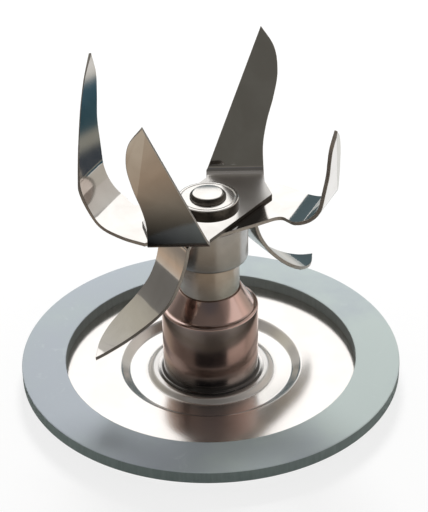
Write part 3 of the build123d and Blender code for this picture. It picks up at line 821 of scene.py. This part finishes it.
# The coupling under the hub, in the dull grey of zinc plating
zinc = mottled_finish("zinc_plated_steel", "#A9A9A4", "#BFBFBA", 1.2, 0.38, 1.0)
coupling_mesh = eased_mesh("plated_coupling", "drive_coupling", COUPLING_EDGE)
add_piece("plated_coupling", coupling_mesh, "rotor", "drive_coupling", zinc)


# Stage: a white table that keeps a soft shadow, a white room, and cards that only mirrors see
TABLE_HALF = 3000
TABLE_LIFT = 0.78
ROOM_LIGHT = 0.42


def shown_share(tree):
    """Output that is 1 for what the eye, a mirror or glass sees, and 0 for the light that falls on things."""
    path = add(tree, "ShaderNodeLightPath")
    seen = add(tree, "ShaderNodeMath", {0: path.outputs["Is Camera Ray"], 1: path.outputs["Is Glossy Ray"]},
               operation="MAXIMUM")
    shown = add(tree, "ShaderNodeMath", {0: seen.outputs["Value"], 1: path.outputs["Is Transmission Ray"]},
                operation="MAXIMUM")
    return shown.outputs["Value"]


def table_white():
    """Matt white laminate. What the eye, a mirror or glass sees of it is lifted to paper white."""
    material, tree, shader = start_material("table_white")
    shader.inputs["Base Color"].default_value = colour("#F4F4F3")
    shader.inputs["Roughness"].default_value = 0.9
    shader.inputs["Specular IOR Level"].default_value = 0.0
    share = add(tree, "ShaderNodeMath", {0: shown_share(tree), 1: TABLE_LIFT}, operation="MULTIPLY")
    glow = add(tree, "ShaderNodeEmission", {"Color": colour("#FFFFFF"), "Strength": 1.0})
    mix = add(tree, "ShaderNodeMixShader", {
        "Fac": share.outputs["Value"], 1: shader.outputs["BSDF"], 2: glow.outputs["Emission"]})
    tree.links.new(mix.outputs["Shader"], tree.nodes["Material Output"].inputs["Surface"])
    return material


def white_room():
    """World that lights the object at a plain level and shows white to the eye, to mirrors and to glass."""
    world = bpy.data.worlds.new("white_room")
    world.use_nodes = True
    tree = world.node_tree
    soft = add(tree, "ShaderNodeBackground", {"Color": colour("#FFFFFF"), "Strength": ROOM_LIGHT})
    white = add(tree, "ShaderNodeBackground", {"Color": colour("#FFFFFF"), "Strength": 1.0})
    mix = add(tree, "ShaderNodeMixShader", {
        "Fac": shown_share(tree), 1: soft.outputs["Background"], 2: white.outputs["Background"]})
    tree.links.new(mix.outputs["Shader"], tree.nodes["World Output"].inputs["Surface"])
    return world


def card_paint(name, measure, stops, strength):
    """Even glow of a card, toned by its swing from the front in degrees or its distance out in mm."""
    material, tree, shader = start_material(name)
    tree.nodes.remove(shader)
    place = add(tree, "ShaderNodeNewGeometry").outputs["Position"]
    axes = add(tree, "ShaderNodeSeparateXYZ", {"Vector": place})
    if measure == "swing":
        toward = add(tree, "ShaderNodeMath", {0: axes.outputs["Y"], 1: -1.0}, operation="MULTIPLY")
        swing = add(tree, "ShaderNodeMath", {0: axes.outputs["X"], 1: toward.outputs["Value"]},
                    operation="ARCTAN2")
        value = swing.outputs["Value"]
        unit = math.radians(1)
    else:
        value = axis_distance(tree, axes)
        unit = MM
    first, last = stops[0][0], stops[-1][0]
    share = add(tree, "ShaderNodeMapRange", {
        "Value": value, "From Min": first * unit, "From Max": last * unit})
    tone = add(tree, "ShaderNodeValToRGB", {"Fac": share.outputs["Result"]},
               stops=[((s - first) / (last - first), hex_code) for s, hex_code in stops])
    glow = add(tree, "ShaderNodeEmission", {"Color": tone.outputs["Color"], "Strength": strength})
    tree.links.new(glow.outputs["Emission"], tree.nodes["Material Output"].inputs["Surface"])
    return material


def add_stage(name, mesh, material):
    """Object of a mesh that belongs to the room and not to the part."""
    thing = bpy.data.objects.new(name, mesh)
    bpy.context.scene.collection.objects.link(thing)
    mesh.materials.append(material)
    return thing


CARD_STEPS = 32


def card(name, swings, near, far, measure, stops, strength=1.0):
    """Card between two swings, from a near edge to a far one (out, up), that only mirrors see."""
    shape = bmesh.new()
    edges = []
    for k in range(CARD_STEPS + 1):
        swing = math.radians(swings[0] + (swings[1] - swings[0]) * k / CARD_STEPS)
        edges.append([
            shape.verts.new((out * MM * math.sin(swing), -out * MM * math.cos(swing), up * MM))
            for out, up in (near, far)
        ])
    for (a, b), (c, d) in zip(edges, edges[1:]):
        shape.faces.new((a, c, d, b))
    mesh = bpy.data.meshes.new(name)
    shape.to_mesh(mesh)
    shape.free()
    piece = add_stage(name, mesh, card_paint(name, measure, stops, strength))
    piece.visible_camera = False
    piece.visible_diffuse = False
    piece.visible_shadow = False
    piece.visible_transmission = False


table_mesh = bpy.data.meshes.new("table")
table_sides = ((-1, -1), (1, -1), (1, 1), (-1, 1))
table_corners = [(x * TABLE_HALF * MM, y * TABLE_HALF * MM, 0) for x, y in table_sides]
table_mesh.from_pydata(table_corners, [], [(0, 1, 2, 3)])
add_stage("table", table_mesh, table_white())
bpy.context.scene.world = white_room()

# The room's walls, brow and ceiling as the polished faces show them, with a bright window at the back
ALL_ROUND = (-180, 180)
ROOM_SIDES = (-150, 150)
ROOM_BACK = (150, 210)
WALL_OUT = 350
WALL_MIDDLE = 150
WALL_TOP = 330
CEILING_OUT = 160
CEILING_UP = 560
CEILING_CENTRE = 0.1
BACK_OUT = 460
WINDOW_SILL = 230
WINDOW_TOP = 520
WINDOW_TOP_OUT = 420
BRIGHT = 1.5
LOW_TONES = [
    (-150, "#C8C6C2"), (-125, "#A8A6A2"), (-105, "#777572"), (-60, "#66645F"), (0, "#62615C"),
    (40, "#6A6866"), (70, "#B0A8A2"), (98, "#FFF0E8"), (116, "#C8C3BA"), (150, "#C8C6C2"),
]
HIGH_TONES = [
    (-150, "#DCDBD6"), (-115, "#C2BEB2"), (-92, "#8A8682"), (-75, "#75706C"), (-35, "#6A6764"),
    (0, "#74706C"), (35, "#6F6B68"), (78, "#A89E98"), (113, "#CFC8C2"), (150, "#D8D6D2"),
]
BROW_TONES = [
    (-150, "#D8D6D2"), (-78, "#9A9896"), (-30, "#62605E"), (0, "#5C5A58"), (30, "#62605E"),
    (78, "#9A9896"), (127, "#929090"), (150, "#B8B6B4"),
]
card("low_wall_card", ROOM_SIDES, (WALL_OUT, 0), (WALL_OUT, WALL_MIDDLE), "swing", LOW_TONES)
card("high_wall_card", ROOM_SIDES, (WALL_OUT, WALL_MIDDLE), (WALL_OUT, WALL_TOP), "swing", HIGH_TONES)
card("brow_card", ROOM_SIDES, (WALL_OUT, WALL_TOP), (CEILING_OUT, CEILING_UP), "swing", BROW_TONES)
card("ceiling_card", ALL_ROUND, (CEILING_OUT, CEILING_UP), (CEILING_CENTRE, CEILING_UP), "out",
     [(0, "#7C7A78"), (CEILING_OUT, "#8A8886")])
card("back_low_card", ROOM_BACK, (BACK_OUT, 0), (BACK_OUT, WINDOW_SILL), "out",
     [(0, "#5A6A70"), (BACK_OUT, "#5A6A70")])
card("back_window_card", ROOM_BACK, (BACK_OUT, WINDOW_SILL), (WINDOW_TOP_OUT, WINDOW_TOP), "out",
     [(0, "#FFFFFF"), (BACK_OUT, "#FFFFFF")], BRIGHT)
card("back_brow_card", ROOM_BACK, (WINDOW_TOP_OUT, WINDOW_TOP), (CEILING_OUT, CEILING_UP), "out",
     [(CEILING_OUT, "#8A8886"), (WINDOW_TOP_OUT, "#C8C6C4")])

# Smaller cards: a dark one before the collar, a bright one inside the washer, and two just before the wall
LENS_SWING = 36
LENS_OUT = 60
LENS_LOW = 20
LENS_HIGH = 36
NEAR_WALL_OUT = 345
SKY_SWING = 32
SKY_LOW = 262
SKY_HIGH = 328
CONE_LIGHT_START = 6
CONE_LIGHT_END = 88
CONE_LIGHT_LOW = 80
CONE_LIGHT_HIGH = 196
SEAT_INSET = 0.2
SEAT_GAP_BELOW = 0.01
SEAT_GAP_ABOVE = 0.15
seat_out = washer_outer - SEAT_INSET
seat_low = washer_low + SEAT_GAP_BELOW
seat_high = washer_top - SEAT_GAP_ABOVE
card("lens_card", (-LENS_SWING, LENS_SWING), (LENS_OUT, LENS_LOW), (LENS_OUT, LENS_HIGH), "swing",
     [(-LENS_SWING, "#3A3838"), (-26, "#101116"), (26, "#101116"), (LENS_SWING, "#3A3838")])
card("seat_card", ALL_ROUND, (seat_out, seat_low), (seat_out, seat_high), "swing",
     [(-180, "#4A4846"), (-120, "#4A4846"), (-95, "#FFFFFF"), (95, "#FFFFFF"), (120, "#4A4846")], BRIGHT)
card("front_sky_card", (-SKY_SWING, SKY_SWING), (NEAR_WALL_OUT, SKY_LOW), (NEAR_WALL_OUT, SKY_HIGH),
     "swing", [(-SKY_SWING, "#5E5F60"), (0, "#585B60"), (SKY_SWING, "#5E5F60")])
card("cone_card", (CONE_LIGHT_START, CONE_LIGHT_END), (NEAR_WALL_OUT, CONE_LIGHT_LOW),
     (NEAR_WALL_OUT, CONE_LIGHT_HIGH), "swing",
     [(CONE_LIGHT_START, "#74706C"), (20, "#ACA29C"), (32, "#D8CFCA"), (49, "#FFF4EE"),
      (CONE_LIGHT_END, "#FFF6F2")])

# Cards that lie just over the table, round the ring, with the tones that the polished faces show
CARD_LIFT = 0.4
TABLE_CARDS = {
    "front_table_card": ((-62, 20), [
        (34, "#55524B"), (40, "#7E766B"), (48, "#A69380"), (65, "#C4B7A6"), (110, "#D8CFC4"),
        (170, "#FFFFFF")]),
    "side_table_card": ((20, 100), [
        (34, "#A39C90"), (48, "#D8CCBC"), (65, "#DCD2C6"), (170, "#FFFFFF")]),
    "back_table_card": ((145, 215), [
        (34, "#B9BDBD"), (85, "#E4E4E0"), (349, "#8A9698")]),
    "left_table_card": ((-125, -62), [
        (34, "#7A726C"), (65, "#7E7874"), (100, "#A99C8E"), (145, "#C7B19C"), (340, "#D8CFC4")]),
    "right_table_card": ((100, 145), [
        (120, "#FFFFFF"), (140, "#D8D2C8"), (154, "#3C434C"), (182, "#3C434C"), (191, "#9A9990"),
        (205, "#9A9990"), (214, "#36525D"), (250, "#36525D"), (296, "#1E5066"), (308, "#E8E6E0"),
        (349, "#FFFFFF")]),
}
for name, (swings, tones) in TABLE_CARDS.items():
    card(name, swings, (tones[0][0], CARD_LIFT), (tones[-1][0], CARD_LIFT), "out", tones)

# A soft lamp high at the back, which mirrors don't see
LAMP_SIZE = 130
LAMP_WATTS = 2.0
LAMP_PLACE = Vector((10, 320, 340))
LAMP_AIM = Vector((0, 0, 20))
lamp_data = bpy.data.lights.new("soft_box", "AREA")
lamp_data.shape = "SQUARE"
lamp_data.size = LAMP_SIZE * MM
lamp_data.energy = LAMP_WATTS
lamp = bpy.data.objects.new("soft_box", lamp_data)
lamp.location = LAMP_PLACE * MM
lamp.rotation_euler = (LAMP_AIM - LAMP_PLACE).to_track_quat("-Z", "Y").to_euler()
lamp.visible_glossy = False
bpy.context.scene.collection.objects.link(lamp)

# Camera, where the photograph was taken from, with its angles in radians
CAMERA_BACK = 208.98
CAMERA_UP = 151.75
PITCH = 0.5484
YAW = 0.0041
ROLL = -0.0158
FOCAL_PIXELS = 1435.7
LONG_SIDE_PIXELS = 512
SENSOR_WIDTH = 36.0
NEAREST_SEEN = 10
forward = Vector((math.sin(YAW) * math.cos(PITCH), math.cos(YAW) * math.cos(PITCH), -math.sin(PITCH)))
level_right = Vector((math.cos(YAW), -math.sin(YAW), 0))
level_up = level_right.cross(forward)
right = level_right * math.cos(ROLL) + level_up * math.sin(ROLL)
up = level_up * math.cos(ROLL) - level_right * math.sin(ROLL)
camera_data = bpy.data.cameras.new("camera")
camera_data.sensor_width = SENSOR_WIDTH
camera_data.lens = FOCAL_PIXELS * SENSOR_WIDTH / LONG_SIDE_PIXELS
camera_data.clip_start = NEAREST_SEEN * MM
camera = bpy.data.objects.new("camera", camera_data)
turn = Matrix((right, up, -forward)).transposed().to_4x4()
camera.matrix_world = Matrix.Translation((0, -CAMERA_BACK * MM, CAMERA_UP * MM)) @ turn
bpy.context.scene.collection.objects.link(camera)
bpy.context.scene.camera = camera
bpy.context.scene.view_settings.view_transform = "Standard"
